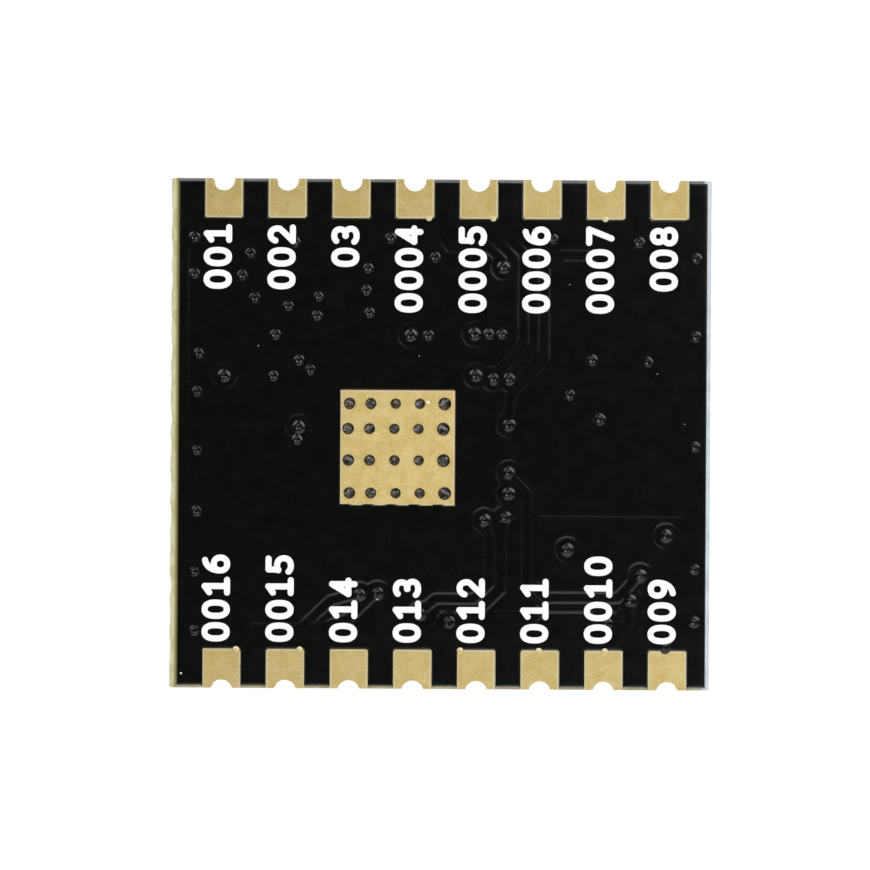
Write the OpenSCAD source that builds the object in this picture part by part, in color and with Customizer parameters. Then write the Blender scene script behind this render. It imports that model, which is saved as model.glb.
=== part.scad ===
// Radio module: a castellated board with a folded shield can and a coaxial antenna socket.
// It lies with its solder pads up. z = 0 is the outer face of the can's lid, x = y = 0 is the
// middle of the board, and +X runs along the two rows of edge pads.

/* [Board] */
// Board size along X, between the snapped edges
board_w = 17; // [16.6:0.1:22]
// Board size along Y, between the routed edges
board_h = 16; // [15.6:0.1:20]
// Laminate thickness, without its copper
laminate_t = 0.69; // [0.5:0.01:1.6]
// Copper foil thickness on each face
copper_t = 0.035; // [0.018:0.001:0.07]
// Solder mask thickness over the copper
mask_t = 0.02; // [0.01:0.005:0.04]
// Depth of the V score in each face of the two snapped edges
score_d = 0.24; // [0.1:0.01:0.3]
// Included angle of the V score
score_angle = 60; // [30:5:90]
// Depth of the scallops where the web tore at the left edge
tear_d = 0.05; // [0.02:0.01:0.08]
// Usual distance between two scallops
tear_pitch = 1.05; // [0.8:0.05:1.6]
// Bare laminate left of the mask, at the snapped edge
bare_left = 0.28; // [0.16:0.01:0.4]
// Bare laminate right of the mask, at the snapped edge
bare_right = 0.17; // [0.16:0.01:0.4]
// Bare laminate beyond the mask at the two routed edges
bare_ends = 0.1; // [0.05:0.01:0.2]

/* [Edge pads] */
// Number of pads in each row
pads_per_row = 8; // [4:1:8]
// Distance between neighbouring pads
pad_pitch = 2; // [1.5:0.05:2.05]
// Middle of the rows, to the right of the middle of the board
row_x = 0.16; // [0:0.01:0.2]
// Width of a pad along its row
pad_w = 1.2; // [0.9:0.05:1.4]
// Length of a pad, in from the board's edge
pad_l = 1.23; // [0.8:0.01:1.5]
// Length of the pad on the part side
part_pad_l = 1; // [0.6:0.01:1.2]
// Corner radius of a pad
pad_r = 0.08; // [0.02:0.01:0.2]
// Radius of the plated half holes
hole_r = 0.35; // [0.2:0.01:0.42]
// How far the upper row's hole centres lie inside the edge
hole_in_upper = 0.03; // [-0.1:0.01:0.1]
// How far the lower row's hole centres lie inside the edge
hole_in_lower = -0.09; // [-0.1:0.01:0.1]
// Plating thickness in a hole
plating_t = 0.03; // [0.02:0.005:0.06]
// Bare ring between a pad and the copper around it
pad_moat = 0.3; // [0.15:0.01:0.35]
// Clearance between a pad and the mask's window
mask_gap = 0.02; // [0.01:0.01:0.08]

/* [Thermal pad] */
// Side of the square pad
thermal_w = 3.6; // [2.8:0.1:3.7]
// Middle of the thermal pad and of the chip behind it, along X
chip_x = -1.35; // [-1.6:0.05:-1]
// Middle of the thermal pad and of the chip behind it, along Y
chip_y = -0.43; // [-0.6:0.01:0]
// Swing of the pad's uneven lower edge
thermal_wave = 0.02; // [0.01:0.005:0.05]
// Bore of the open vias in the pad
thermal_bore = 0.35; // [0.2:0.01:0.4]

/* [Vias and tracks] */
// Drill of a small via
via_drill = 0.3; // [0.2:0.01:0.35]
// Open bore of a small via once it is plated
via_bore = 0.2; // [0.1:0.01:0.25]
// Outer radius of the mask's raised ring over a via
bump_r = 0.21; // [0.18:0.01:0.25]
// Radius of the hollow in the middle of the raised ring
dimple_r = 0.07; // [0.05:0.01:0.1]
// Height of the raised ring
bump_h = 0.02; // [0.01:0.005:0.03]
// Width of a track
track_w = 0.2; // [0.12:0.01:0.22]
// Gap between a track and the copper around it
track_gap = 0.125; // [0.08:0.005:0.15]
// Radius of the copper land round a via
via_land_r = 0.2; // [0.18:0.01:0.22]
// Width of the bare ring round the land of a via that is cut off from the ground copper
antipad_gap = 0.2; // [0.12:0.01:0.25]

/* [Shield can] */
// Height of the can over the mask
can_h = 2.2; // [2.1:0.05:3]
// Can size along X
can_w = 13; // [12.4:0.1:13]
// Can size along Y
can_l = 12.2; // [12:0.1:12.8]
// Middle of the can along X
can_x = 1.55; // [1.5:0.01:1.7]
// Sheet thickness of the can
sheet_t = 0.2; // [0.12:0.01:0.25]
// Outer radius of the fold round the lid
fold_r = 0.35; // [0.3:0.01:0.5]
// Open slit between two walls at a corner
corner_slit = 0.1; // [0.05:0.01:0.2]
// Notches in the foot of each wall
foot_notches = 4; // [2:1:6]
// Width of a foot notch
notch_w = 0.9; // [0.5:0.05:1.2]
// Height of a foot notch
notch_h = 0.25; // [0.15:0.01:0.4]
// Solder fillet along the foot of a wall
can_fillet = 0.12; // [0.05:0.01:0.15]

/* [Chips] */
// Side of the radio chip's moulded body
chip_w = 5; // [4.8:0.1:5.2]
// Thickness of the radio chip
chip_t = 0.85; // [0.7:0.05:1]
// Leads on each side of the radio chip
chip_leads = 8; // [6:1:9]
// Distance between two leads of the radio chip
chip_pitch = 0.5; // [0.4:0.05:0.5]
// Memory body size along X
memory_w = 4.9; // [4.6:0.1:5]
// Memory body size along Y
memory_l = 3.9; // [3.6:0.1:4]
// Thickness of the memory's body
memory_t = 1.35; // [1.2:0.05:1.4]
// Memory size along Y over its leads
memory_span = 6; // [5.8:0.1:6.2]
// Distance between two leads of the memory
memory_pitch = 1.27; // [1:0.01:1.27]
// Middle of the memory along X
memory_x = 4.9; // [4.8:0.1:5]
// Crystal package length
crystal_w = 3.2; // [2.5:0.1:3.2]
// Crystal package width
crystal_l = 2.5; // [2:0.1:2.5]
// Crystal package thickness
crystal_t = 0.7; // [0.5:0.05:0.9]
// Solder film under the parts
film_t = 0.04; // [0.02:0.01:0.06]

/* [Antenna socket] */
// Middle of the socket along X
socket_x = -6.8; // [-6.9:0.05:-6.75]
// Middle of the socket along Y
socket_y = -5.05; // [-5.1:0.05:-4.8]
// Outer radius of the shell's ring
socket_r = 1; // [0.9:0.05:1]
// Wall of the shell's ring
socket_wall = 0.1; // [0.08:0.01:0.15]
// Height of the shell over its solder
socket_h = 1.25; // [1.1:0.05:1.4]
// Side of the moulded base
socket_base = 2.6; // [2.4:0.1:2.6]
// Thickness of the moulded base
socket_base_t = 0.35; // [0.25:0.01:0.4]
// Radius of the centre pin
socket_pin_r = 0.25; // [0.2:0.01:0.3]
// Radius of the round snap groove in the ring
groove_r = 0.05; // [0.03:0.01:0.06]

/* [Hidden] */
$fn = 48;

// Heights through the stack, from the can's lid up to the pads
part_face = can_h;
part_foil = part_face + mask_t;
lam_bottom = part_foil + copper_t;
lam_top = lam_bottom + laminate_t;
pad_foil = lam_top + copper_t;
pad_face = pad_foil + mask_t;

// Overshoot of every cut past the face that it opens
cut = 0.2;

// Small vias: where each lies, and 1 where a bare ring cuts it off from the ground copper
vias = [
    [-7.75, 6.15, 0], [-6, 5.65, 0], [-7.75, 5, 0], [-6.25, 4.95, 0], [-5.85, 4.25, 0],
    [-4.6, 6, 0], [-4.8, 4, 0], [-3.85, 4.3, 0], [-3.9, 3.7, 0], [-2.3, 5.2, 0],
    [-2.35, 4.5, 0], [-2.25, 3.8, 0], [-1.6, 6.15, 0], [-0.2, 5.55, 0], [-5.2, 3.1, 0],
    [-7.6, 2.5, 0], [-4.45, 2.3, 0], [-4.1, 2, 0], [-6.8, 1.8, 1], [-5.25, 1.8, 0],
    [-7.65, 1.3, 0], [-0.95, 3.1, 1], [-0.4, 3.1, 0], [-4.45, 0.2, 1], [-4.5, -0.2, 0],
    [-7.65, -0.55, 0], [3.5, 6.15, 0], [1.95, 5.25, 1], [6.2, 6.05, 0], [8, 5.55, 0],
    [1.05, 3.15, 1], [1.5, 3.15, 0], [1.9, 3.15, 0], [8, 3.1, 0], [1.1, 1.85, 1],
    [1.65, 1.75, 1], [2.15, 1.75, 1], [4.75, 2.35, 0], [6.5, 2.3, 0], [4.05, 1.25, 0],
    [2.15, 0.3, 1], [5, 0.5, 0], [8, -0.35, 0], [-7.65, -2.45, 0], [-7.7, -4.35, 0],
    [-7.7, -6.2, 0], [-2.5, -5.05, 1], [-1.95, -5, 1], [-0.6, -5.65, 1], [2.15, -1.2, 1],
    [2.15, -1.85, 1], [1.4, -2.7, 1], [2.05, -2.6, 1], [4, -3.6, 1], [7.1, -3.15, 1],
    [8, -4.2, 0], [6.3, -4.4, 1], [6, -5.2, 1], [8, -5.85, 0], [0.3, -5.9, 1], [5.25, -5.9, 1]
];

// Tracks on the pad side: each route runs between vias, or from inside a pad to a via
tracks = [
    [[1.5, 6.9], [2.65, 5.7], [2.65, 2.85], [2.3, 2.35], [1.65, 1.75]],
    [[-0.35, 6.9], [0.3, 5.95], [1.5, 5.95], [1.95, 5.5], [1.95, 5.25]],
    [[3.15, 6.9], [2.97, 6.5], [2.97, 2.65], [2.15, 1.75]],
    [[5.15, 6.9], [5.15, 6.1], [4.75, 5.7], [3.7, 5.7], [3.3, 5.3], [3.3, 2.3], [2.3, 1.3], [2.15, 0.3]],
    [[-6.5, -6.9], [-5.8, -6.22], [-4.35, -6.22], [-3.4, -5.3], [-2.5, -5.05]],
    [[-4.4, -6.9], [-3.5, -6.1], [-2.8, -5.85], [-1.95, -5]],
    [[-0.6, -6.9], [-0.2, -6.3], [0.3, -5.9]],
    [[1.4, -2.7], [1.62, -3.2], [1.62, -4.7], [1.1, -5.22], [-0.1, -5.22], [-0.6, -5.65]],
    [[2.05, -2.6], [1.98, -3.2], [1.98, -4.88], [1.2, -5.66], [1.16, -6.9]],
    [[2.15, -1.2], [2.8, -1.85], [2.8, -4.66], [3.32, -5.18], [5.6, -5.18], [5.9, -4.88], [6.3, -4.4]],
    [[2.95, -6.9], [2.95, -5.83], [3.3, -5.48], [4.83, -5.48], [5.25, -5.9]],
    [[5.15, -6.9], [6, -5.9], [6, -5.2]]
];

// Open vias of the thermal pad, from its middle, with the drill's wander in each row and column
thermal_columns = [-1.53, -0.86, -0.08, 0.68, 1.46];
thermal_rows = [1.38, 0.59, -0.4, -1.43];
row_wander = [0.02, -0.02, -0.01, 0.03];
bore_wander = [0.01, 0, -0.01, -0.01, 0.03];

// Open via at the inner end of the last pad of the lower row
open_via = [7.1, -6.64];

// Rows of small parts that keep clear of the radio chip as it grows
row_below_chip = chip_y - chip_w / 2 - 1.27;
row_above_chip = chip_y + chip_w / 2 + 1.13;

// Chip capacitors, resistors and inductors: size class, place and turn
// (0 small capacitor, 1 large capacitor, 2 resistor, 3 inductor)
small_parts = [
    ["capacitor_01", 0, 1.2, 4.6, 90], ["capacitor_02", 0, 2.1, 4.6, 90],
    ["resistor_01", 2, 3, 4.6, 90], ["resistor_02", 2, 3.9, 4.6, 90],
    ["capacitor_03", 0, 4.8, 4.6, 90], ["capacitor_04", 0, 5.7, 4.6, 90],
    ["capacitor_05", 0, -3.9, row_above_chip + 1.3, 0], ["capacitor_06", 0, -3.9, row_above_chip, 90],
    ["capacitor_07", 0, -3.9, row_below_chip, 90], ["inductor_01", 3, -3, row_below_chip, 90],
    ["capacitor_08", 0, -2.1, row_below_chip, 90], ["capacitor_09", 0, -1.2, row_below_chip, 90],
    ["resistor_03", 2, -0.3, row_below_chip, 90], ["resistor_04", 2, 0.6, row_below_chip, 90],
    ["inductor_02", 3, 1.5, row_below_chip, 90], ["capacitor_10", 1, 3.4, -4.4, 0],
    ["capacitor_11", 1, 6.2, -4.4, 0], ["inductor_03", 3, -6.75, -1.1, 90],
    ["capacitor_12", 0, -7.45, -2.4, 0], ["capacitor_13", 0, -5.95, -2.4, 0]
];
// Length, width, height and terminal length of each size class
part_sizes = [[1, 0.5, 0.5, 0.25], [1.6, 0.8, 0.8, 0.35], [1, 0.5, 0.35, 0.2], [1, 0.55, 0.5, 0.22]];
// How far a land and its solder reach past the end of a part
toe = 0.2;

edge_pad_count = 2 * pads_per_row;
edge_pad_names = [for (i = [1:edge_pad_count]) str("edge_pad_", i < 10 ? "0" : "", i)];

// ---- Shared shapes ----

// Direction across a step of a route, with a length of one
function across(v) = [-v.y, v.x] / norm(v);
// Offset at a corner between two steps, one unit away from both
function corner(a, b) = let (m = across(a) + across(b)) m / (m * across(a));
// Outline of a route that is t wide, with mitred corners
function band(route, t) =
    let (
        last = len(route) - 1,
        steps = [for (i = [1:last]) route[i] - route[i - 1]],
        offsets = [for (i = [0:last]) corner(steps[max(i - 1, 0)], steps[min(i, last - 1)])]
    )
    concat(
        [for (i = [0:last]) route[i] + offsets[i] * t / 2],
        [for (i = [last:-1:0]) route[i] - offsets[i] * t / 2]
    );

// Rectangle about the origin with round corners
module round_rect(w, l, r) {
    square([w - 2 * r, l], center = true);
    square([w, l - 2 * r], center = true);
    for (x = [-1, 1], y = [-1, 1]) translate([x * (w / 2 - r), y * (l / 2 - r)]) circle(r);
}

// A flat layer between two heights
module layer(from, to) {
    translate([0, 0, from]) linear_extrude(to - from) children();
}

// Turns what follows to the part side: its z = 0 is the copper's outer face, +Z away from the board
module on_part_side() {
    translate([0, 0, part_foil]) mirror([0, 0, 1]) children();
}

// ---- Edge pads ----

// Puts a pad in its row. Its y = 0 is the board's edge and +Y runs inwards
module at_edge_pad(i) {
    upper = i <= pads_per_row;
    place = upper ? i - (pads_per_row + 1) / 2 : 1.5 * pads_per_row + 0.5 - i;
    translate([row_x + place * pad_pitch, upper ? board_h / 2 : -board_h / 2])
        mirror([0, upper ? 1 : 0]) children();
}

// Depth of a pad's hole centre inside the board's edge
function hole_in(i) = i <= pads_per_row ? hole_in_upper : hole_in_lower;

// Outline of a pad, square at the board's edge and round at its inner corners
module pad_outline(l, grow = 0) {
    w = pad_w + 2 * grow;
    translate([-w / 2, 0]) square([w, l + grow - pad_r]);
    translate([pad_r - w / 2, 0]) square([w - 2 * pad_r, l + grow]);
    for (x = [-1, 1]) translate([x * (w / 2 - pad_r), l + grow - pad_r]) circle(pad_r);
}

// Outlines of all edge pads, grown all round and run out past the board's edge
module edge_pad_outlines(l, grow = 0) {
    for (i = [1:edge_pad_count]) at_edge_pad(i) translate([0, -cut]) pad_outline(l + cut, grow);
}

// Routes of all tracks, grown on both sides
module track_outlines(grow = 0) {
    for (t = tracks) polygon(band(t, track_w + 2 * grow));
}

// One castellation: a pad on each face, joined by the plated half hole
module edge_pad(i) {
    barrel_r = hole_r + plating_t;
    color("goldenrod") at_edge_pad(i) {
        layer(lam_top, pad_foil) difference() {
            pad_outline(pad_l);
            translate([0, hole_in(i)]) circle(hole_r);
        }
        layer(part_foil, lam_bottom) difference() {
            pad_outline(part_pad_l);
            translate([0, hole_in(i)]) circle(hole_r);
        }
        layer(part_foil, pad_foil) difference() {
            intersection() {
                translate([0, hole_in(i)]) circle(barrel_r);
                translate([-pad_w / 2, 0]) square([pad_w, pad_l]);
            }
            translate([0, hole_in(i)]) circle(hole_r);
        }
    }
}

// ---- Thermal pad ----

module thermal_bores(grow = 0) {
    for (c = [0:4], r = [0:3]) translate([thermal_columns[c] + row_wander[r], thermal_rows[r]])
        circle(thermal_bore / 2 + bore_wander[c] + grow);
}

// Outline of the pad, with its uneven lower edge
module thermal_outline(grow = 0) {
    w = thermal_w / 2 + grow;
    waves = 5;
    points = 8 * waves;
    edge = [
        for (k = [0:points])
            [w * (2 * k / points - 1), -w + thermal_wave * sin(360 * waves * k / points)]
    ];
    polygon(concat(edge, [[w, w], [-w, w]]));
}

// Pad, land and plated barrels, all one piece of copper
module thermal_pad() {
    color("goldenrod") translate([chip_x, chip_y]) {
        layer(lam_top, pad_foil) difference() {
            thermal_outline();
            thermal_bores();
        }
        layer(lam_bottom, lam_top) difference() {
            thermal_bores(plating_t);
            thermal_bores();
        }
        layer(part_foil, lam_bottom) difference() {
            square(thermal_w, center = true);
            thermal_bores();
        }
    }
}

// ---- Board ----

module laminate() {
    score_w = score_d * tan(score_angle / 2);
    half = board_w / 2;
    section = [
        [-half, lam_bottom + score_d], [-half, lam_top - score_d], [-half + score_w, lam_top],
        [half - score_w, lam_top], [half, lam_top - score_d], [half, lam_bottom + score_d],
        [half - score_w, lam_bottom], [-half + score_w, lam_bottom]
    ];
    color("darkkhaki") difference() {
        rotate([90, 0, 0]) linear_extrude(board_h, center = true) polygon(section);
        layer(lam_bottom - cut, lam_top + cut) {
            for (i = [1:edge_pad_count]) at_edge_pad(i)
                translate([0, hole_in(i)]) circle(hole_r + plating_t);
            via_circles(via_drill / 2);
            translate([chip_x, chip_y]) thermal_bores(plating_t);
            torn_scallops();
        }
    }
}

// Shallow scallops along the left edge, each a little off the usual place and depth
module torn_scallops() {
    count = floor(board_h / tear_pitch) - 1;
    for (k = [0:count - 1]) {
        depth = tear_d * (0.75 + 0.25 * sin(211 * k));
        chord = tear_pitch * (0.75 + 0.1 * sin(97 * k));
        r = (chord * chord / 4 + depth * depth) / (2 * depth);
        y = (k + 0.5 - count / 2) * tear_pitch + 0.08 * sin(137 * k);
        translate([depth - r - board_w / 2, y]) circle(r);
    }
}

// A circle at each small via, the open one included
module via_circles(r) {
    for (v = concat(vias, [open_via])) translate([v.x, v.y]) circle(r);
}

module via_barrels() {
    color("peru") layer(lam_bottom, lam_top) difference() {
        via_circles(via_drill / 2);
        via_circles(via_bore / 2);
    }
}

// Outline of the ground copper, set back from the board's edges
module ground_outline() {
    left = board_w / 2 - bare_left - 0.3;
    right = board_w / 2 - bare_right - 0.13;
    ends = board_h - 2 * (bare_ends + 0.15);
    translate([-left, -ends / 2]) square([left + right, ends]);
}

// Copper of the pad side: the ground with its gaps, and the tracks that lie in them
module pad_copper_outline() {
    difference() {
        union() {
            difference() {
                ground_outline();
                track_outlines(track_gap);
                for (v = vias) if (v.z == 1) translate([v.x, v.y]) circle(via_land_r + antipad_gap);
                edge_pad_outlines(pad_l, pad_moat);
            }
            track_outlines();
            for (v = vias) if (v.z == 1) translate([v.x, v.y]) circle(via_land_r);
        }
        edge_pad_outlines(pad_l);
        translate([chip_x, chip_y]) thermal_outline();
        via_circles(via_bore / 2);
    }
}

module pad_side_copper() {
    color("peru") layer(lam_top, pad_foil) pad_copper_outline();
}

// Outline of the mask on either face
module mask_outline() {
    left = board_w / 2 - bare_left;
    ends = board_h - 2 * bare_ends;
    translate([-left, -ends / 2]) square([board_w - bare_left - bare_right, ends]);
}

// Raised ring of the mask over a covered via, round a small hollow
module via_bump() {
    half = (bump_r - dimple_r) / 2;
    curve_r = (half * half + bump_h * bump_h) / (2 * bump_h);
    rotate_extrude() intersection() {
        translate([dimple_r + half, bump_h - curve_r]) circle(curve_r);
        translate([dimple_r, -mask_t / 2]) square([2 * half, bump_h + mask_t]);
    }
}

// Mask of the pad side: it lies on the copper, fills the gaps and covers the small vias
module pad_side_mask() {
    color([0.06, 0.06, 0.05]) {
        layer(pad_foil, pad_face) pad_mask_outline();
        layer(lam_top, pad_foil) difference() {
            pad_mask_outline();
            pad_copper_outline();
            via_circles(via_bore / 2);
        }
        for (v = vias) translate([v.x, v.y, pad_face]) via_bump();
    }
}

module pad_mask_outline() {
    difference() {
        mask_outline();
        edge_pad_outlines(pad_l, mask_gap);
        translate(open_via) circle(via_drill / 2);
        translate([chip_x, chip_y]) thermal_outline(mask_gap);
    }
}

// ---- Part side: lands, copper and mask ----

// Two lands of a small part, or the open strip round both
module small_lands(size, grow = 0) {
    if (grow > 0) square([size[0] + 2 * toe + 2 * grow, size[1] + 2 * grow], center = true);
    else for (side = [-1, 1]) translate([side * (size[0] / 2 + toe / 2 - size[3] / 2), 0])
        square([toe + size[3], size[1]], center = true);
}

// Every land of the part side, or with grow the open window round each
module part_lands(grow = 0) {
    for (p = small_parts) translate([p[2], p[3]]) rotate(p[4]) small_lands(part_sizes[p[1]], grow);
    translate([chip_x, chip_y]) chip_lands(grow);
    translate([memory_x, 0]) memory_lands(grow);
    translate([crystal_x(), crystal_y()]) crystal_lands(grow);
    translate([socket_x, socket_y]) socket_lands(grow);
}

// Ring of copper that the can's walls stand on
module can_land(grow = 0) {
    land_w = sheet_t + 2 * can_fillet + 2 * grow;
    translate([can_x, 0]) difference() {
        square([can_w - sheet_t + land_w, can_l - sheet_t + land_w], center = true);
        square([can_w - sheet_t - land_w, can_l - sheet_t - land_w], center = true);
    }
}

module part_copper_outline() {
    difference() {
        union() {
            difference() {
                ground_outline();
                part_lands(track_gap);
                edge_pad_outlines(part_pad_l, pad_moat);
            }
            part_lands();
        }
        translate([chip_x, chip_y]) square(thermal_w, center = true);
        via_circles(via_bore / 2);
    }
}

module part_side_copper() {
    color("peru") layer(part_foil, lam_bottom) part_copper_outline();
}

module part_mask_outline() {
    difference() {
        mask_outline();
        edge_pad_outlines(part_pad_l, mask_gap);
        part_lands(mask_gap);
        translate([chip_x, chip_y]) square(thermal_w + 2 * mask_gap, center = true);
        can_land();
    }
}

module part_side_mask() {
    color([0.06, 0.06, 0.05]) layer(part_face, part_foil) part_mask_outline();
}

// ---- Shield can ----

// Length of one foot along a wall, and where each foot starts
function foot_length(wall) = (wall - foot_notches * notch_w) / (foot_notches + 1);
function foot_starts(wall) = [for (i = [0:foot_notches]) -wall / 2 + i * (foot_length(wall) + notch_w)];
long_wall = can_w;
short_wall = can_l - 2 * (sheet_t + corner_slit);

// Puts what follows along each wall: +X along it, y = 0 its outer face, +Y into the can
module at_long_walls() {
    translate([can_x, 0]) for (turn = [0, 180]) rotate(turn) translate([0, -can_l / 2]) children();
}
module at_short_walls() {
    translate([can_x, 0]) for (turn = [90, 270]) rotate(turn) translate([0, -can_w / 2]) children();
}

// A wall on its notched foot, with the fold that joins it to the lid
module can_wall(wall, fold) {
    straight = can_h - fold_r;
    difference() {
        translate([-wall / 2, 0, 0]) cube([wall, sheet_t, straight]);
        for (i = [0:foot_notches - 1]) translate([foot_starts(wall)[i] + foot_length(wall), -cut, -cut])
            cube([notch_w, sheet_t + 2 * cut, notch_h + cut]);
    }
    translate([0, 0, straight]) rotate([90, 0, 90]) linear_extrude(fold, center = true)
        translate([fold_r, 0]) intersection() {
            difference() {
                circle(fold_r);
                circle(fold_r - sheet_t);
            }
            translate([-fold_r, 0]) square(fold_r);
        }
}

module shield_can() {
    lid_w = can_w - 2 * fold_r;
    lid_l = can_l - 2 * fold_r;
    color("lightgray") on_part_side() translate([0, 0, mask_t]) {
        translate([can_x, 0, can_h - sheet_t / 2]) cube([lid_w, lid_l, sheet_t], center = true);
        at_long_walls() can_wall(long_wall, lid_w);
        at_short_walls() can_wall(short_wall, lid_l);
    }
}

// Solder under each foot, with a fillet up both faces of the wall
module can_solder() {
    section = [
        [-can_fillet, 0], [sheet_t + can_fillet, 0], [sheet_t, can_fillet],
        [sheet_t, mask_t], [0, mask_t], [0, can_fillet]
    ];
    color("silver") on_part_side() {
        at_long_walls() foot_solder(long_wall, section);
        at_short_walls() foot_solder(short_wall, section);
    }
}

// The end feet's solder stops short of the corner, so that two walls' fillets stay apart
module foot_solder(wall, section) {
    short = sheet_t + can_fillet + corner_slit;
    for (i = [0:foot_notches]) {
        from = foot_starts(wall)[i] + (i == 0 ? short : 0);
        to = foot_starts(wall)[i] + foot_length(wall) - (i == foot_notches ? short : 0);
        translate([from, 0]) rotate([90, 0, 90]) linear_extrude(to - from) polygon(section);
    }
}

// ---- Radio chip ----

chip_lead_w = 0.24;
chip_lead_l = 0.4;
chip_lead_t = 0.2;
chip_land_out = 0.25;
// The die pad stops short of the leads
paddle_w = min(thermal_w, chip_w - 2 * chip_lead_l - 0.4);

// Places one thing at each lead: y = 0 is the body's side, +Y runs outwards
module at_chip_leads() {
    for (turn = [0:90:270], i = [0:chip_leads - 1]) rotate(turn)
        translate([(i - (chip_leads - 1) / 2) * chip_pitch, chip_w / 2]) children();
}

module chip_lands(grow) {
    if (grow > 0) square(chip_w + 2 * chip_land_out + 2 * grow, center = true);
    else at_chip_leads() translate([-chip_lead_w / 2, -chip_lead_l])
        square([chip_lead_w, chip_lead_l + chip_land_out]);
}

// Leads and die pad, stamped from one sheet and parted in the finished chip
module radio_leads() {
    color("silver") on_part_side() translate([chip_x, chip_y, film_t]) {
        translate([-paddle_w / 2, -paddle_w / 2]) cube([paddle_w, paddle_w, chip_lead_t]);
        at_chip_leads() translate([-chip_lead_w / 2, -chip_lead_l])
            cube([chip_lead_w, chip_lead_l, chip_lead_t]);
    }
}

// Moulded body, with a round mark by its first lead
module radio_chip() {
    mark_r = 0.3;
    color("dimgray") difference() {
        on_part_side() translate([chip_x, chip_y, film_t]) difference() {
            translate([-chip_w / 2, -chip_w / 2]) cube([chip_w, chip_w, chip_t]);
            translate([0.7 - chip_w / 2, chip_w / 2 - 0.7, chip_t - 0.05]) cylinder(r = mark_r, h = cut);
        }
        radio_leads();
    }
}

// Solder of the leads and the die pad, drawn up into the thermal vias
module chip_solder() {
    plug_l = 0.3;
    fillet = chip_land_out - 0.05;
    section = [[-chip_lead_l, 0], [fillet, 0], [0, chip_lead_t], [0, film_t], [-chip_lead_l, film_t]];
    color("silver") on_part_side() translate([chip_x, chip_y]) {
        translate([-paddle_w / 2, -paddle_w / 2]) cube([paddle_w, paddle_w, film_t]);
        translate([0, 0, -plug_l]) linear_extrude(plug_l) thermal_bores();
        at_chip_leads() translate([-chip_lead_w / 2, 0])
            rotate([90, 0, 90]) linear_extrude(chip_lead_w) polygon(section);
    }
}

// ---- Memory chip ----

memory_leads_per_side = 4;
lead_w = 0.42;
lead_t = 0.2;
lead_foot = 0.5;
// Gap between the body and the solder under it
memory_lift = 0.15;

// Places one thing at each lead: y = 0 is the middle of the body, +Y runs outwards
module at_memory_leads() {
    for (turn = [0, 180], i = [0:memory_leads_per_side - 1]) rotate(turn)
        translate([(i - (memory_leads_per_side - 1) / 2) * memory_pitch, 0]) children();
}

module memory_lands(grow) {
    from = memory_span / 2 - lead_foot - 0.1;
    to = memory_span / 2 + toe;
    at_memory_leads() translate([-lead_w / 2 - grow, from - grow])
        square([lead_w + 2 * grow, to - from + 2 * grow]);
}

// Route of a gull-wing lead from inside the body down to its foot, as [out, up]
function lead_route() =
    let (
        out = memory_span / 2,
        up = film_t + memory_lift + memory_t / 2,
        foot = film_t + lead_t / 2
    )
    [[memory_l / 2 - 0.4, up], [memory_l / 2 + 0.2, up], [out - lead_foot, foot], [out, foot]];

module memory_leads() {
    color("silver") on_part_side() translate([memory_x, 0]) at_memory_leads() translate([-lead_w / 2, 0])
        rotate([90, 0, 90]) linear_extrude(lead_w) polygon(band(lead_route(), lead_t));
}

// Moulded body with the sloping sides of its two mould halves
module memory_chip() {
    draft = 0.12;
    half_l = memory_l / 2;
    section = [
        [-half_l + draft, 0], [-half_l, memory_t / 2], [-half_l + draft, memory_t],
        [half_l - draft, memory_t], [half_l, memory_t / 2], [half_l - draft, 0]
    ];
    color("dimgray") difference() {
        on_part_side() translate([memory_x, 0, film_t + memory_lift]) difference() {
            rotate([90, 0, 90]) linear_extrude(memory_w, center = true) polygon(section);
            translate([0.6 - memory_w / 2, 0.7 - half_l, memory_t - 0.06]) cylinder(r = 0.3, h = cut);
        }
        memory_leads();
    }
}

// ---- Crystal ----

// Between the radio chip and the can's wall
function crystal_x() = chip_x;
function crystal_y() = chip_y + chip_w / 2 + chip_land_out + 0.5 + crystal_l / 2;
crystal_land_w = 1;
crystal_land_l = 0.8;
crystal_base_t = 0.45;

module at_crystal_corners() {
    for (x = [-1, 1], y = [-1, 1])
        translate([x * (crystal_w - crystal_land_w) / 2, y * (crystal_l - crystal_land_l) / 2]) children();
}

module crystal_lands(grow) {
    at_crystal_corners() square([crystal_land_w + 2 * grow, crystal_land_l + 2 * grow], center = true);
}

// Ceramic tray with a notch in each corner
module crystal_base() {
    notch_r = 0.15;
    color("beige") on_part_side() translate([crystal_x(), crystal_y(), film_t])
        linear_extrude(crystal_base_t) difference() {
            square([crystal_w, crystal_l], center = true);
            for (x = [-1, 1], y = [-1, 1])
                translate([x * crystal_w / 2, y * crystal_l / 2]) circle(notch_r);
        }
}

module crystal_lid() {
    edge = 0.15;
    color("silver") on_part_side() translate([crystal_x(), crystal_y(), film_t + crystal_base_t])
        linear_extrude(crystal_t - crystal_base_t)
            round_rect(crystal_w - 2 * edge, crystal_l - 2 * edge, 0.25);
}

// ---- Antenna socket ----

socket_sheet = 0.1;
socket_foot = 0.25;
tab_w = 1.8;
pin_foot_w = 0.5;

module socket_lands(grow) {
    side_x = socket_base / 2 + 0.15;
    for (x = [-1, 1]) translate([x * side_x, 0])
        square([0.5 + 2 * grow, tab_w + 2 * grow], center = true);
    translate([0, socket_base / 2 + 0.1]) square([pin_foot_w + 2 * grow, 0.6 + 2 * grow], center = true);
}

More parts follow.
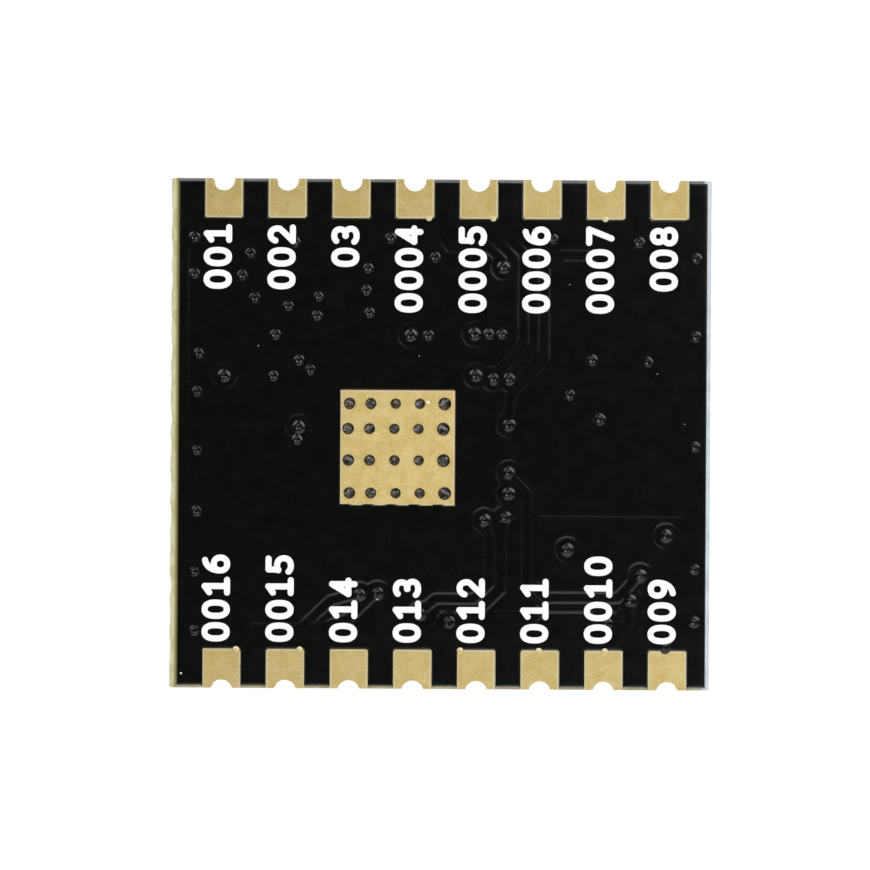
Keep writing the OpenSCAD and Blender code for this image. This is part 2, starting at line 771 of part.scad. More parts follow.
// Moulded base with a raised boss round the pin
module socket_insulator() {
    boss_r = 0.5;
    boss_h = 0.15;
    color("ivory") difference() {
        on_part_side() translate([socket_x, socket_y, film_t]) {
            translate([-socket_base / 2, -socket_base / 2]) cube([socket_base, socket_base, socket_base_t]);
            cylinder(r = boss_r, h = socket_base_t + boss_h);
        }
        socket_pin();
    }
}

// Ring with a snap groove and two tabs that fold down the sides of the base
module socket_shell() {
    ring_h = socket_h - socket_base_t;
    inner_r = socket_r - socket_wall;
    groove_z = 0.6 * ring_h;
    side = socket_base / 2 + socket_sheet / 2;
    top = film_t + socket_base_t + socket_sheet / 2;
    tab = [[socket_r - socket_wall / 2, top], [side, top], [side, film_t + socket_sheet / 2],
           [side + socket_foot, film_t + socket_sheet / 2]];
    color("gold") on_part_side() translate([socket_x, socket_y]) {
        translate([0, 0, film_t + socket_base_t]) rotate_extrude() difference() {
            translate([inner_r, 0]) square([socket_wall, ring_h]);
            translate([socket_r, groove_z]) circle(groove_r);
        }
        for (turn = [0, 180]) rotate(turn) difference() {
            translate([0, tab_w / 2]) rotate([90, 0, 0])
                linear_extrude(tab_w) polygon(band(tab, socket_sheet));
            cylinder(r = inner_r, h = socket_h);
        }
    }
}

// Centre pin with a round tip, on a foot that leaves the base at one side
module socket_pin() {
    pin_h = socket_h - 0.25;
    color("gold") on_part_side() translate([socket_x, socket_y, film_t]) {
        cylinder(r = socket_pin_r, h = pin_h - socket_pin_r);
        translate([0, 0, pin_h - socket_pin_r]) sphere(socket_pin_r);
        translate([-pin_foot_w / 2, 0]) cube([pin_foot_w, socket_base / 2 + socket_foot, socket_sheet]);
    }
}

// ---- Small parts and their solder ----

// Chip part: a body between two thicker metal ends
module chip_part(size) {
    thin = 0.02;
    translate([-size[0] / 2 + thin, -size[1] / 2 + thin, thin])
        cube([size[0] - 2 * thin, size[1] - 2 * thin, size[2] - 2 * thin]);
    for (x = [-size[0] / 2, size[0] / 2 - size[3]]) translate([x, -size[1] / 2, 0])
        cube([size[3], size[1], size[2]]);
}

part_colors = ["tan", "burlywood", "dimgray", "lightsteelblue"];

module small_part(p) {
    color(part_colors[p[1]]) on_part_side() translate([p[2], p[3], film_t])
        rotate(p[4]) chip_part(part_sizes[p[1]]);
}

// Solder under a flat foot and up its end face: x = 0 is the end face, +X away from the part
module solder_joint(under, out, up, width) {
    translate([0, width / 2]) rotate([90, 0, 0]) linear_extrude(width)
        polygon([[-under, 0], [out, 0], [0, up], [0, film_t], [-under, film_t]]);
}

// Solder of all parts but the radio chip
module part_solder() {
    edge = 0.02;
    color("silver") on_part_side() {
        for (p = small_parts) translate([p[2], p[3]]) rotate(p[4]) for (turn = [0, 180]) rotate(turn) {
            size = part_sizes[p[1]];
            translate([size[0] / 2, 0])
                solder_joint(size[3], toe - edge, 0.6 * size[2], size[1] - 2 * edge);
        }
        translate([memory_x, 0]) at_memory_leads() translate([0, memory_span / 2]) rotate(90)
            solder_joint(lead_foot, toe - edge, film_t + 0.6 * lead_t, lead_w);
        translate([crystal_x(), crystal_y()]) at_crystal_corners() translate([0, 0, film_t / 2])
            cube([crystal_land_w - 0.4, crystal_land_l - 0.4, film_t], center = true);
        translate([socket_x, socket_y]) {
            out = socket_base / 2 + socket_foot;
            up = film_t + 0.6 * socket_sheet;
            for (turn = [0, 180]) rotate(turn) translate([out + socket_sheet / 2, 0])
                solder_joint(socket_foot, 0.04, up, tab_w - 0.1);
            translate([0, out]) rotate(90) solder_joint(socket_foot, 0.04, up, pin_foot_w);
        }
    }
}

laminate();
pad_side_copper();
pad_side_mask();
part_side_copper();
part_side_mask();
via_barrels();
thermal_pad();
shield_can();
can_solder();
radio_chip();
radio_leads();
chip_solder();
memory_chip();
memory_leads();
crystal_base();
crystal_lid();
socket_insulator();
socket_shell();
socket_pin();
part_solder();
for (i = [1:edge_pad_count]) edge_pad(i);
for (p = small_parts) small_part(p);
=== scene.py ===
import math

import bpy
import numpy as np
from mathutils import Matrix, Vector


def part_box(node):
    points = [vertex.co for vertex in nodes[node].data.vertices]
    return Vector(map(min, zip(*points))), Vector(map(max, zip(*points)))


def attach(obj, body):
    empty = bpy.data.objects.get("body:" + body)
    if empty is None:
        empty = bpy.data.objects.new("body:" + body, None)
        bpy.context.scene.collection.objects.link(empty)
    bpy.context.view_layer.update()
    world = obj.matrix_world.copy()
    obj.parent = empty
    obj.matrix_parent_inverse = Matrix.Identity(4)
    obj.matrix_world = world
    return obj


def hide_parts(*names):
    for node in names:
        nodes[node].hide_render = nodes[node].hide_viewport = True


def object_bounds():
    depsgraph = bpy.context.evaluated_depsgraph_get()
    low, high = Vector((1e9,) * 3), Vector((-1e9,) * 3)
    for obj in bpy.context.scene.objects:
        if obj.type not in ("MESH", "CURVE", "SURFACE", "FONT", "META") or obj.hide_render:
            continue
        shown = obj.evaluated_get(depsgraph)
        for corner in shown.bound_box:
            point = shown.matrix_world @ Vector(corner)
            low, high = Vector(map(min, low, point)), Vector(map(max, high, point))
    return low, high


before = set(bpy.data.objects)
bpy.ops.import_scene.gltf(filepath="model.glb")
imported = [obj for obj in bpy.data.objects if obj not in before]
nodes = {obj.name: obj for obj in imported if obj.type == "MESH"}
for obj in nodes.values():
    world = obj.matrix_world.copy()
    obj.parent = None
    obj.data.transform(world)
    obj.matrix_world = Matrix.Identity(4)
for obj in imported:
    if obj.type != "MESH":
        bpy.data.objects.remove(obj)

cad_low, cad_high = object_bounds()
MM = 0.001


# ---- Table, camera and lamps ----
# The board lies pads up on a white table. Three soft boxes stand round it, none right overhead, so a
# flat glossy face mirrors the dark ceiling and only a slope that faces a box catches its light.

class Wire:
    """One socket of a node tree. + - and * on it add Math nodes, and node() adds any other node."""

    def __init__(self, tree, socket=None):
        self.tree = tree
        self.socket = socket

    def node(self, kind, inputs=None, out=0, **settings):
        """A node of one type: its settings first, then its sockets' values or links, by name or number."""
        made = self.tree.nodes.new(kind)
        for name, value in settings.items():
            setattr(made, name, value)
        for name, value in (inputs or {}).items():
            if isinstance(value, Wire):
                self.tree.links.new(value.socket, made.inputs[name])
            else:
                made.inputs[name].default_value = value
        return Wire(self.tree, made.outputs[out] if made.outputs else None)

    def sum(self, operation, first, second, clamp=False):
        return self.node("ShaderNodeMath", {0: first, 1: second}, operation=operation, use_clamp=clamp)

    def __add__(self, other):
        return self.sum("ADD", self, other)

    def __sub__(self, other):
        return self.sum("SUBTRACT", self, other)

    def __rsub__(self, other):
        return self.sum("SUBTRACT", other, self)

    def __mul__(self, other):
        return self.sum("MULTIPLY", self, other)

    __radd__ = __add__
    __rmul__ = __mul__

    def clamped(self):
        return self.sum("ADD", self, 0.0, clamp=True)

    def rise(self, low, high):
        """0 below low, 1 above high, with a soft step between them."""
        return self.node("ShaderNodeMapRange", {0: self, 1: low, 2: high},
                         interpolation_type="SMOOTHSTEP")

    def blend(self, first, second):
        """A colour between two, by this value."""
        return self.node("ShaderNodeMix", {0: self, 6: first, 7: second}, out=2, data_type="RGBA")


def linear(red, green, blue):
    """A colour given in everyday 0 to 255 steps, as the light it gives back."""
    steps = np.array([red, green, blue]) / 255
    light = np.where(steps <= 0.04045, steps / 12.92, ((steps + 0.055) / 1.055) ** 2.4)
    return (*(float(part) for part in light), 1.0)


def soft_box(name, azimuth, lean, distance, size, share):
    """A square lamp facing the board: lean is its angle off the vertical, share its part of full light."""
    turn, tilt = math.radians(azimuth), math.radians(lean)
    lamp = bpy.data.lights.new(name, "AREA")
    lamp.shape = "SQUARE"
    lamp.size = size
    lamp.energy = share * (math.pi * distance) ** 2 / math.cos(tilt)
    holder = bpy.data.objects.new(name, lamp)
    holder.location = (
        distance * math.sin(tilt) * math.cos(turn),
        distance * math.sin(tilt) * math.sin(turn),
        distance * math.cos(tilt),
    )
    holder.rotation_euler = (0.0, tilt, turn)
    bpy.context.scene.collection.objects.link(holder)


# name, azimuth and lean in degrees, distance and size in metres, share
soft_box("box_upper_right", 44, 40, 0.2, 0.125, 0.36)
soft_box("box_upper_left", 138, 45, 0.2, 0.115, 0.22)
soft_box("box_lower", 280, 46, 0.12, 0.13, 0.34)

horizon_white = (1.0, 1.0, 1.0, 1.0)
ceiling_dark = (0.03, 0.03, 0.031, 1.0)
world = bpy.data.worlds.new("studio")
world.use_nodes = True
world.node_tree.nodes.clear()
sky = Wire(world.node_tree)
heading = sky.node("ShaderNodeSeparateXYZ", {0: sky.node("ShaderNodeTexCoord")}, out=2)
ceiling = heading.rise(0.25, 0.8)
sky.node("ShaderNodeOutputWorld", {0: sky.node("ShaderNodeBackground", {
    0: ceiling.blend(horizon_white, ceiling_dark), 1: 1.0})})
bpy.context.scene.world = world
bpy.context.scene.view_settings.view_transform = "Standard"

table_side = 1.5
table_gap = 0.00001
white_share = 0.93
table_mesh = bpy.data.meshes.new("table")
corners = np.array([[-1, -1], [1, -1], [1, 1], [-1, 1]]) * table_side / 2
table_mesh.from_pydata([(x, y, cad_low[2] - table_gap) for x, y in corners], [], [(0, 1, 2, 3)])
table = bpy.data.objects.new("table", table_mesh)
bpy.context.scene.collection.objects.link(table)
table_white = bpy.data.materials.new("table_white")
table_white.use_nodes = True
table_white.node_tree.nodes.clear()
cloth = Wire(table_white.node_tree)
seen = (cloth.node("ShaderNodeLightPath", out=0) + cloth.node("ShaderNodeLightPath", out=3)
        + cloth.node("ShaderNodeLightPath", out=6)).clamped()
cloth.node("ShaderNodeOutputMaterial", {0: cloth.node("ShaderNodeMixShader", {
    0: seen * white_share,
    1: cloth.node("ShaderNodeBsdfDiffuse", {0: (0.86, 0.86, 0.86, 1.0)}),
    2: cloth.node("ShaderNodeEmission", {0: (1.0, 1.0, 1.0, 1.0), 1: 1.04})})})
table_mesh.materials.append(table_white)

lens_length = 100.0
frame_width = 27.3 * MM
camera = bpy.data.objects.new("camera", bpy.data.cameras.new("camera"))
camera.data.lens = lens_length
camera.data.clip_start = 0.002
camera_distance = frame_width * lens_length / camera.data.sensor_width
camera.location = (-0.17 * MM, -0.025 * MM, cad_high[2] + camera_distance)
camera.rotation_euler = (0.0, 0.0, math.radians(0.35))
bpy.context.scene.collection.objects.link(camera)
bpy.context.scene.camera = camera


# ---- Board laminate ----
# Woven glass in epoxy, snapped along V scores at the left and right and routed at the two pad rows.
# The snapped web is pale where the glass broke and olive where resin still covers the bundles. The dark
# band along the left mask edge is partly resin and partly painted shade, and the right strip's blue-white
# tone is a painted reflection of the lamps.

def finish(name, constants, paint):
    """A material: constants are set on the shader, and paint(wire, place) gives what varies over it."""
    material = bpy.data.materials.new(name)
    material.use_nodes = True
    material.node_tree.nodes.clear()
    wire = Wire(material.node_tree)
    place = wire.node("ShaderNodeTexCoord", out=3)
    shader = wire.node("ShaderNodeBsdfPrincipled", {**constants, **paint(wire, place)})
    wire.node("ShaderNodeOutputMaterial", {0: shader})
    return material


def grain(wire, place, size, detail=2.0, roughness=0.5, stretch=(1.0, 1.0, 1.0)):
    """Noise whose cells are about size millimetres across, stretched along the axes."""
    scaled = wire.node("ShaderNodeVectorMath", {0: place, 1: tuple(1000 / size / s for s in stretch)},
                       operation="MULTIPLY")
    return wire.node("ShaderNodeTexNoise", {"Vector": scaled, "Scale": 1.0, "Detail": detail,
                                            "Roughness": roughness})


def axis(wire, place, number):
    """Distance along one axis, in millimetres."""
    return wire.node("ShaderNodeSeparateXYZ", {0: place}, out=number) * 1000


def bumped(wire, height, depth, normal=None):
    """The surface's normal over a height from 0 to 1 that stands for depth millimetres."""
    inputs = {"Strength": 1.0, "Distance": depth * MM, "Height": height}
    if normal is not None:
        inputs["Normal"] = normal
    return wire.node("ShaderNodeBump", inputs)


def rounded(wire, radius):
    """A normal that rounds every sharp edge by a radius in millimetres."""
    return wire.node("ShaderNodeBevel", {0: radius * MM}, samples=6)


def dressed(material, *names):
    """Gives CAD nodes their finish."""
    for name in names:
        nodes[name].data.materials.clear()
        nodes[name].data.materials.append(material)


def laminate_paint(wire, place):
    x, y = axis(wire, place, 0), axis(wire, place, 1)
    bundles = grain(wire, place, 0.7, 2.0, 0.55, (0.8, 1.0, 1.0))
    fibres = grain(wire, place, 0.08, 2.0, 0.6, (3.0, 1.0, 1.0))
    layers = grain(wire, place, 0.05, 2.0, 0.6, (8.0, 8.0, 0.8))
    # Painted shade: a dark olive band along the mask's edge on the left strip. It is partly the resin's own
    # colour and partly shade painted in at the mask's edge.
    resin_and_shade_band = (x + 8.4).rise(0.0, 0.16)
    olive = bundles.rise(0.42, 0.6) * 0.6
    left = olive.blend(linear(217, 214, 172), linear(182, 174, 112))
    left = (fibres.rise(0.5, 0.75) * 0.3).blend(left, linear(222, 221, 192))
    left = resin_and_shade_band.blend(left, linear(112, 102, 52))
    # Painted reflection: the right strip is the same laminate as the left. It is tinted blue-white and
    # lighter, as if its V-score bevel mirrored the lamps.
    right = bundles.rise(0.35, 0.7).blend(linear(200, 213, 219), linear(178, 192, 198))
    right = (fibres.rise(0.5, 0.8) * 0.5).blend(right, linear(218, 228, 233))
    side = x.rise(-1.0, 1.0).blend(left, right)
    routed = (layers * 0.6 + fibres * 0.4).rise(0.3, 0.7)
    upper_end = routed.blend(linear(98, 100, 97), linear(128, 130, 126))
    lower_end = routed.blend(linear(140, 134, 100), linear(178, 172, 142))
    end = y.rise(-1.0, 1.0).blend(lower_end, upper_end)
    at_end = (y * y).rise(7.88 ** 2, 7.93 ** 2) * (1 - (x * x).rise(8.2 ** 2, 8.3 ** 2))
    return {
        "Base Color": at_end.blend(side, end),
        "Roughness": 0.42 + fibres * 0.35,
        "Normal": bumped(wire, fibres * 0.4 + bundles, 0.03),
    }


laminate = finish("laminate", {"IOR": 1.52, "Specular IOR Level": 0.4}, laminate_paint)
dressed(laminate, "laminate")


# ---- Copper foils and small barrels ----
# Rolled copper under the mask on both faces, bright only where a cut shows its edge.

def copper_paint(wire, place):
    patches = grain(wire, place, 0.12)
    return {
        "Base Color": patches.blend(linear(198, 118, 82), linear(160, 88, 60)),
        "Roughness": 0.3 + patches * 0.2,
        "Normal": bumped(wire, patches, 0.002),
    }


copper = finish("copper", {"Metallic": 1.0}, copper_paint)
dressed(copper, "pad_side_copper", "part_side_copper", "via_barrels")


# ---- Black solder mask ----
# Glossy lacquer that has run down over the foil's edges, so that tracks, their gaps and the bare
# rings round the vias stand out as soft steps. It has clean windows at the pads.

def flat_edges(name, height):
    """The outline of a node's flat faces at one height: the edges that only one of their triangles has."""
    mesh = nodes[name].data
    points = np.empty(len(mesh.vertices) * 3)
    mesh.vertices.foreach_get("co", points)
    points = points.reshape(-1, 3)
    mesh.calc_loop_triangles()
    corners = np.empty(len(mesh.loop_triangles) * 3, int)
    mesh.loop_triangles.foreach_get("vertices", corners)
    corners = corners.reshape(-1, 3)
    corners = corners[np.abs(points[corners][:, :, 2] - height).max(1) < 1e-6]
    spots, same = np.unique(np.round(points[:, :2] / MM, 4), axis=0, return_inverse=True)
    corners = same.ravel()[corners]
    edges = np.sort(np.concatenate([corners[:, [0, 1]], corners[:, [1, 2]], corners[:, [2, 0]]]), axis=1)
    edges, uses = np.unique(edges, axis=0, return_counts=True)
    return spots[edges[uses == 1]]


def covered(edges, across, along):
    """Whether each grid point lies inside an outline: a ray along X crosses it an odd number of times."""
    inside = np.zeros((len(along), len(across)), bool)
    low, high = edges[:, :, 1].min(1), edges[:, :, 1].max(1)
    for row, y in enumerate(along):
        start, end = edges[(low <= y) & (high > y)].transpose(1, 0, 2)
        rise = (y - start[:, 1]) / (end[:, 1] - start[:, 1])
        crossings = start[:, 0] + rise * (end[:, 0] - start[:, 0])
        inside[row] = np.searchsorted(np.sort(crossings), across) % 2
    return inside


def nearest_on(edges, points):
    """The nearest point of an outline to each point: its foot on every edge, held between its ends."""
    start, step = edges[:, 0], edges[:, 1] - edges[:, 0]
    found = []
    for part in np.array_split(points, max(1, len(points) // 400)):
        reach = part[:, None] - start
        share = np.clip((reach * step).sum(2) / np.maximum((step * step).sum(1), 1e-12), 0, 1)
        feet = start + share[..., None] * step
        best = ((feet - part[:, None]) ** 2).sum(2).argmin(1)
        found.append(feet[np.arange(len(part)), best])
    return np.concatenate(found)


def blurred(field, spread):
    """A field softened by a bell curve, spread cells wide, applied through its frequencies."""
    down, right = (np.fft.fftfreq(field.shape[0])[:, None], np.fft.rfftfreq(field.shape[1]))
    bell = np.exp(-2 * (math.pi * spread) ** 2 * (down ** 2 + right ** 2))
    return np.fft.irfft2(np.fft.rfft2(field) * bell, field.shape)


def soft_step(value, low, high):
    """0 below low, 1 above high, and 3 t^2 - 2 t^3 between them."""
    t = np.clip((value - low) / (high - low), 0, 1)
    return t * t * (3 - 2 * t)


def surface(name, points, faces, material):
    """A piece from points in millimetres and faces of one corner count, riding on the board."""
    mesh = bpy.data.meshes.new(name)
    faces = np.asarray(faces)
    mesh.vertices.add(len(points))
    mesh.vertices.foreach_set("co", (np.asarray(points) * MM).ravel())
    mesh.loops.add(faces.size)
    mesh.loops.foreach_set("vertex_index", faces.ravel())
    mesh.polygons.add(len(faces))
    mesh.polygons.foreach_set("loop_start", np.arange(len(faces)) * faces.shape[1])
    mesh.polygons.foreach_set("loop_total", np.full(len(faces), faces.shape[1]))
    mesh.polygons.foreach_set("use_smooth", np.full(len(faces), True))
    mesh.update(calc_edges=True)
    mesh.validate()
    mesh.materials.append(material)
    piece = bpy.data.objects.new(name, mesh)
    bpy.context.scene.collection.objects.link(piece)
    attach(piece, "root")
    return piece


def lacquer_paint(wire, place):
    peel = grain(wire, place, 0.5, 1.0)
    dust = grain(wire, place, 0.03, 1.0)
    return {
        "Base Color": peel.blend(linear(5, 6, 3), linear(9, 9, 6)),
        "Roughness": 0.15 + peel * 0.08 + dust.rise(0.62, 0.75) * 0.12,
        "Normal": bumped(wire, peel * 0.8 + dust * 0.03, 0.003),
    }


lacquer = finish("black_lacquer", {"IOR": 1.5}, lacquer_paint)
dressed(lacquer, "part_side_mask")


def loop_centres(edges):
    """The middle of each closed outline: its edges come to share the least label of their corners."""
    spots, same = np.unique(np.round(edges.reshape(-1, 2), 4), axis=0, return_inverse=True)
    pairs = same.reshape(-1, 2)
    labels = np.arange(len(spots))
    for _ in range(200):
        least = np.minimum(labels[pairs[:, 0]], labels[pairs[:, 1]])
        np.minimum.at(labels, pairs[:, 0], least)
        np.minimum.at(labels, pairs[:, 1], least)
    return np.array([spots[labels == label].mean(0) for label in np.unique(labels)])


ring_height = 0.02
ring_radius = 0.215
foil_step = 0.016
foil_blur = 0.03
calm_blur = 0.075
calm_share = 0.3
calm_rows = (5.7, 6.3)
calm_right = (7.5, 7.8)
rim_drop = 0.006
rim_blur = 0.03
land_radius = 0.15
land_window = 0.16
tent_cut = 0.155
tent_sink = 0.03
skirt_depth = 0.045
cell = 0.036
fine = 3
foil_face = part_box("pad_side_copper")[1][2]
mask_low, mask_high = (np.array(corner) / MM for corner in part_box("pad_side_mask"))
lacquer_face = mask_high[2] - ring_height

barrels = loop_centres(flat_edges("via_barrels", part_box("via_barrels")[1][2]))
barrels = np.unique(np.round(barrels, 2), axis=0)
windows = flat_edges("pad_side_mask", lacquer_face * MM)
apart = np.sqrt(((windows.mean(1)[:, None] - barrels) ** 2).sum(2)).min(1)
windows = windows[apart > ring_radius + 0.005]

steps_x = math.ceil((mask_high[0] - mask_low[0]) / cell) + 2
steps_y = math.ceil((mask_high[1] - mask_low[1]) / cell) + 2
across = mask_low[0] - cell * 0.9 + cell * np.arange(steps_x + 1)
along = mask_low[1] - cell * 0.9 + cell * np.arange(steps_y + 1)
inside = covered(windows, across, along)

fine_across = across[0] + cell / fine * np.arange(steps_x * fine + 1)
fine_along = along[0] + cell / fine * np.arange(steps_y * fine + 1)
foil = covered(flat_edges("pad_side_copper", foil_face), fine_across, fine_along).astype(float)
pad_low, pad_high = (np.array(corner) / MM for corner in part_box("thermal_pad"))
foil[np.ix_((fine_along > pad_low[1]) & (fine_along < pad_high[1]),
            (fine_across > pad_low[0]) & (fine_across < pad_high[0]))] = 1.0
for x, y in barrels:
    rows = np.abs(fine_along - y) < land_window
    columns = np.abs(fine_across - x) < land_window
    round_land = (fine_along[rows, None] - y) ** 2 + (fine_across[columns] - x) ** 2 < land_radius ** 2
    foil[np.ix_(rows, columns)] = np.maximum(foil[np.ix_(rows, columns)], round_land)
calm = np.maximum(soft_step(np.abs(fine_along)[:, None], *calm_rows), soft_step(fine_across, *calm_right))
foil = (blurred(foil, foil_blur / cell * fine) * (1 - calm)
        + (1 - calm_share + calm_share * blurred(foil, calm_blur / cell * fine)) * calm)
open_area = blurred(covered(windows, fine_across, fine_along).astype(float), rim_blur / cell * fine)
relief = foil_step * (foil - 1) - rim_drop * np.clip(1 - 2 * (open_area - 0.5), 0, 1)


def relief_at(spots):
    """The lacquer's height at any points, read off the fine grid between its four nearest values."""
    column = (spots[:, 0] - fine_across[0]) / (cell / fine)
    row = (spots[:, 1] - fine_along[0]) / (cell / fine)
    left, below = np.floor(column).astype(int), np.floor(row).astype(int)
    right_part, upper_part = column - left, row - below
    lower = relief[below, left] * (1 - right_part) + relief[below, left + 1] * right_part
    upper = relief[below + 1, left] * (1 - right_part) + relief[below + 1, left + 1] * right_part
    return lower * (1 - upper_part) + upper * upper_part


grid_x, grid_y = np.meshgrid(across, along)
points = np.stack([grid_x, grid_y, lacquer_face + relief[::fine, ::fine]], axis=2)
near = inside.copy()
near[1:], near[:-1] = near[1:] | inside[:-1], near[:-1] | inside[1:]
wide = near.copy()
wide[:, 1:], wide[:, :-1] = wide[:, 1:] | near[:, :-1], wide[:, :-1] | near[:, 1:]
rim = wide & ~inside
points[rim, :2] = nearest_on(windows, points[rim, :2])

index = np.arange(points.shape[0] * points.shape[1]).reshape(points.shape[:2])
quads = np.stack([index[:-1, :-1], index[:-1, 1:], index[1:, 1:], index[1:, :-1]], axis=2)
quads = quads.reshape(-1, 4)
quads = quads[inside.ravel()[quads].any(1)]
points = points.reshape(-1, 3)
for x, y in barrels:
    nearby = (points[:, 0] - x) ** 2 + (points[:, 1] - y) ** 2 < tent_cut ** 2
    points[nearby, 2] -= tent_sink

sides = np.stack([quads, np.roll(quads, -1, axis=1)], axis=2).reshape(-1, 2)
_, first, uses = np.unique(np.sort(sides, axis=1), axis=0, return_index=True, return_counts=True)
border = sides[first[uses == 1]]
skirt_spots = np.unique(border)
skirt_of = np.zeros(len(points), int)
skirt_of[skirt_spots] = len(points) + np.arange(len(skirt_spots))
points = np.concatenate([points, points[skirt_spots] - [0, 0, skirt_depth]])
skirt = np.stack([border[:, 1], border[:, 0], skirt_of[border[:, 0]], skirt_of[border[:, 1]]], axis=1)
middles = points[quads].mean(1)
skirt_middles = points[skirt].mean(1)
for name, sign_x, sign_y in (("mask_lower_left", -1, -1), ("mask_lower_right", 1, -1),
                             ("mask_upper_left", -1, 1), ("mask_upper_right", 1, 1)):
    def here(spots):
        return (spots[:, 0] * sign_x > 0) & (spots[:, 1] * sign_y > 0)
    faces = np.concatenate([quads[here(middles)], skirt[here(skirt_middles)]])
    used, same = np.unique(faces, return_inverse=True)
    piece = surface(name, points[used], same.reshape(-1, 4), lacquer)
    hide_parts("pad_side_mask")


# ---- Tented vias ----
# The mask covers each small via and dries to a raised ring round a hollow, never quite the same twice.

def revolved(centre, radii, heights, turns, wobble):
    """A ring of circles: at turn a, radius r goes to the centre plus r (1 + wobble(a)) along a."""
    angles = np.arange(turns) / turns * 2 * math.pi
    swing = 1 + wobble(angles)
    x = centre[0] + radii[:, None] * swing * np.cos(angles)
    y = centre[1] + radii[:, None] * swing * np.sin(angles)
    z = np.broadcast_to(heights[:, None], x.shape)
    return np.stack([x, y, z], axis=2).reshape(-1, 3)


def ring_faces(rings, turns):
    """Quads between neighbouring circles, closed round the turn."""
    index = np.arange(rings * turns).reshape(rings, turns)
    ahead = np.roll(index, -1, axis=1)
    return np.stack([index[:-1], index[1:], ahead[1:], ahead[:-1]], axis=2).reshape(-1, 4)


chance = np.random.default_rng(7)
turns = 48
tent_reach = 0.205
crest_radius, crest_width = 0.112, 0.042
dimple_radius = 0.05
rim_start = 0.85
tent_clearance = 0.0004
radii = tent_reach * np.linspace(0.0, 1.0, 19)[1:]
bump_points, bump_faces, bump_shapes = [], [], []
placed = 0
for x, y in barrels:
    if not covered(windows, np.array([x]), np.array([y]))[0, 0]:
        continue
    crest = crest_radius + chance.normal(0, 0.006)
    width = crest_width + chance.normal(0, 0.003)
    lift = ring_height * (0.7 + 0.25 * chance.random())
    hollow = 0.003 + 0.004 * chance.random()
    phase, two = chance.random(2) * 2 * math.pi
    made = revolved((x, y), radii, np.zeros(len(radii)), turns,
                    lambda a: 0.04 * np.sin(2 * a + phase) + 0.025 * np.sin(3 * a + two))
    out = np.repeat(radii, turns)
    shape = lift * np.exp(-((out - crest) / width) ** 2) - hollow * np.exp(-(out / dimple_radius) ** 2)
    fade = 1 - np.clip((out / tent_reach - rim_start) / (1 - rim_start), 0, 1) ** 2
    made[:, 2] = lacquer_face + relief_at(made) + shape * fade + tent_clearance
    hub = np.array([[x, y, lacquer_face + relief_at(np.array([[x, y]]))[0] + shape[0]]])
    rows = ring_faces(len(radii), turns)
    spokes = np.arange(turns)
    cap = np.stack([np.full(turns, len(made)), spokes, np.roll(spokes, -1)], axis=1)
    bump_points += [made, hub]
    bump_faces.append((placed + rows, placed + cap))
    bump_shapes.append((x, y, crest, width, lift))
    placed += len(made) + 1
points = np.concatenate(bump_points)
triangles = np.concatenate([part[1] for part in bump_faces])
faces = np.concatenate([part[0] for part in bump_faces])
faces = np.concatenate([faces[:, [0, 1, 2]], faces[:, [0, 2, 3]], triangles])
tents = surface("via_tents", points, faces, lacquer)


# ---- Gold pads ----
# Gold over nickel on etched copper: matte and finely pitted. The paler rims are a painted highlight
# along the rounded edges, and painted shade darkens the gold towards the upper left.

def gold_finish(name, low, high, light, pitch=None):
    """Gold with a painted highlight along its rim, paler than its middle, light times as bright as the
    plain colour. With a pitch, the rectangle repeats along X and on the other side of the X axis."""
    def toned(*colour):
        return (*(min(part * light, 1.0) for part in linear(*colour)[:3]), 1.0)

    def paint(wire, place):
        pits = grain(wire, place, 0.05, 3.0, 0.7)
        blotches = grain(wire, place, 0.45, 2.0, 0.5)
        blush = grain(wire, place, 0.3, 1.0)
        x, y = axis(wire, place, 0), axis(wire, place, 1)
        if pitch:
            x = wire.sum("PINGPONG", x - (low[0] + high[0]) / 2, pitch / 2)
            across_pad = (high[0] - low[0]) / 2 - x
            y = wire.sum("ABSOLUTE", y, 0.0)
            rim = wire.sum("MINIMUM", across_pad, y - low[1])
        else:
            rim = wire.sum("MINIMUM", wire.sum("MINIMUM", x - low[0], high[0] - x),
                           wire.sum("MINIMUM", y - low[1], high[1] - y))
        ragged = rim + (pits - 0.5) * 0.05
        # Painted highlight: a pale band along each pad's rim, where the rounded edge would catch the lamps.
        painted_rim_highlight = 1 - ragged.rise(0.01, 0.09)
        warm = (blotches.rise(0.3, 0.7) * 0.45 + pits.rise(0.38, 0.62) * 0.55)
        # Painted shade: the gold darkens towards the top and the left of the board, standing in for the
        # fall of the lamps' light across the pads.
        painted_light_gradient = (axis(wire, place, 1) * 0.035 - axis(wire, place, 0) * 0.02 + 0.4).clamped()
        colour = warm.blend(painted_light_gradient.blend(toned(235, 216, 158), toned(206, 189, 136)),
                            painted_light_gradient.blend(toned(214, 190, 120), toned(188, 166, 100)))
        colour = (blush.rise(0.45, 0.75) * 0.25).blend(colour, toned(224, 190, 132))
        return {
            "Base Color": (painted_rim_highlight * 0.7).blend(colour, linear(228, 220, 188)),
            "Roughness": 0.5 + pits * 0.16,
            "Normal": bumped(wire, pits, 0.005, rounded(wire, 0.015)),
        }

    return finish(name, {"Metallic": 1.0}, paint)


pad_names = sorted(name for name in nodes if name.startswith("edge_pad"))
pad_low, pad_high = (np.array(corner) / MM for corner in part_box(pad_names[0]))
next_low = np.array(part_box(pad_names[1])[0]) / MM
